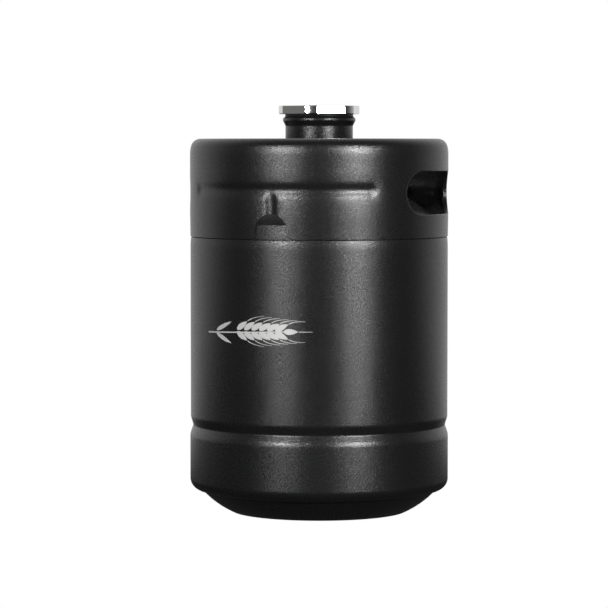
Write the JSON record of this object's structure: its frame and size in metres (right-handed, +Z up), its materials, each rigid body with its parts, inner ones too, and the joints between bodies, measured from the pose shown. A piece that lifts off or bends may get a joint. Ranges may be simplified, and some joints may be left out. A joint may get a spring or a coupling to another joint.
{
  "type": "mini keg",
  "caption": "Double-walled cylindrical mini keg with a rolled collar, handholds, a ring-grooved wall, a domed foot and a screw-in lid with a pressure relief valve.",
  "frame": {"origin": "centre of the circle that the foot ring stands on", "axes": "+Z up along the keg's axis; the handholds face +X and -X and the T-shaped grooves face -Y and +Y"},
  "size_m": [0.1686, 0.1686, 0.2647],
  "materials": {
    "black_coat": "matte black powder coat with a fine grain",
    "bare_steel": "satin stainless steel",
    "lid_steel": "fine turned and polished stainless steel",
    "copper_plug": "plain copper",
    "getter_metal": "dull grey sintered metal",
    "black_rubber": "smooth food-grade silicone rubber",
    "valve_brass": "turned brass",
    "spring_steel": "drawn stainless wire"
  },
  "bodies": {
    "keg": {"collar": "black_coat", "outer_shell": "black_coat", "outer_dome": "black_coat", "base_cap": "black_coat", "outer_bottom_plate": "bare_steel", "vacuum_port_seal": "copper_plug", "vacuum_getter": "getter_metal", "getter_clip": "bare_steel", "inner_can": "bare_steel", "inner_dome": "bare_steel", "neck_sleeve": "black_coat", "neck_liner": "bare_steel"},
    "lid_gasket": {"lid_gasket": "black_rubber"},
    "lid": {"lid_body": "lid_steel", "relief_seat": "valve_brass", "relief_spring": "spring_steel", "relief_spring_washer": "spring_steel"},
    "relief_poppet": {"relief_poppet": "valve_brass", "relief_poppet_seal": "black_rubber"}
  },
  "joints": [
    {"name": "lid_rise", "type": "slide", "parent": "keg", "child": "lid_gasket", "axis": [0, 0, 1], "range_m": [0, 0.0196]},
    {"name": "lid_turn", "type": "hinge", "parent": "lid_gasket", "child": "lid", "pos_m": [0, 0, 0.2592], "axis": [0, 0, 1], "range_deg": [0, 2340]},
    {"name": "relief_lift", "type": "slide", "parent": "lid", "child": "relief_poppet", "axis": [0, 0, 1], "range_m": [0, 0.0015], "stiffness_N_per_m": 1500, "deforming": ["relief_spring"]}
  ],
  "couplings": [
    {"joint": "lid_rise", "follows": "lid_turn", "m_per_rad": 0.00047746}
  ]
}
